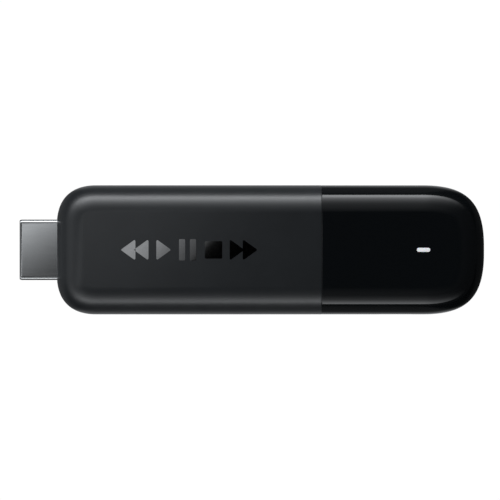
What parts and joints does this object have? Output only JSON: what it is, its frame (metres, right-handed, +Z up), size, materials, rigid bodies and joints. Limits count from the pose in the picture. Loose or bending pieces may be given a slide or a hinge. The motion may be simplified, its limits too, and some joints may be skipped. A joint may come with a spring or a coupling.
{
  "type": "streaming media player",
  "caption": "Streaming media stick: matte shell with a glossy tail cap, an HDMI plug at the nose, a micro-USB power port and a small status light.",
  "frame": {"origin": "middle of the whole object's footprint, on the surface it lies on", "axes": "+X along the length, from the HDMI plug towards the tail cap; +Y across, away from the power port; +Z up, out of the face with the status light"},
  "size_m": [0.1068, 0.0296, 0.0154],
  "materials": {
    "matte_shell": "fine spark-eroded matte",
    "gloss_cap": "high-gloss moulded",
    "mark_foil": "hot-stamped mirror foil",
    "light_diffuser": "milky translucent",
    "dark_moulding": "as moulded",
    "plug_nickel": "nickel-plated, satin",
    "contact_gold": "gold flash",
    "solder_mask": "solder mask over copper",
    "chip_epoxy": "moulded epoxy",
    "chip_substrate": "laminate",
    "shield_tin": "tin-plated",
    "screw_steel": "black zinc",
    "ferrite": "pressed ferrite",
    "ceramic": "fired ceramic with tinned ends",
    "thermal_pad": "soft silicone",
    "spreader_aluminium": "rolled sheet",
    "led_base": "white moulding",
    "led_lens": "clear resin with phosphor"
  },
  "bodies": {
    "root": {"bluetooth_antenna": "contact_gold", "board_screws": "screw_steel", "ceramic_capacitors_lower": "ceramic", "ceramic_capacitors_upper": "ceramic", "crystals": "shield_tin", "front_mark": "mark_foil", "hdmi_contacts_lower": "contact_gold", "hdmi_contacts_upper": "contact_gold", "hdmi_filter_chokes": "ferrite", "hdmi_insulator": "dark_moulding", "hdmi_plug_shell": "plug_nickel", "hdmi_solder_ears": "plug_nickel", "hdmi_surge_arrays": "chip_epoxy", "heat_spreader_lower": "spreader_aluminium", "heat_spreader_upper": "spreader_aluminium", "input_capacitors": "ceramic", "input_fuse": "chip_epoxy", "light_shroud": "dark_moulding", "lower_cover": "matte_shell", "main_board": "solder_mask", "memory_chip_lower": "chip_epoxy", "memory_chip_upper": "chip_epoxy", "memory_pad_lower": "thermal_pad", "memory_pad_upper": "thermal_pad", "power_inductors": "ferrite", "power_regulators": "chip_epoxy", "processor_package": "chip_epoxy", "processor_pad": "thermal_pad", "processor_substrate": "chip_substrate", "radio_module_board": "solder_mask", "radio_module_can": "shield_tin", "resistors": "chip_epoxy", "shield_frame_lower": "shield_tin", "shield_frame_upper": "shield_tin", "shield_lid_lower": "shield_tin", "shield_lid_upper": "shield_tin", "spreader_pad_lower": "thermal_pad", "spreader_pad_upper": "thermal_pad", "status_led_base": "led_base", "status_led_lens": "led_lens", "status_light_guide": "light_diffuser", "storage_chip": "chip_epoxy", "storage_pad": "thermal_pad", "tail_cap": "gloss_cap", "upper_cover": "matte_shell", "usb_port_contacts": "contact_gold", "usb_port_insulator": "dark_moulding", "usb_port_shell": "plug_nickel", "wifi_antenna": "contact_gold"}
  },
  "joints": []
}
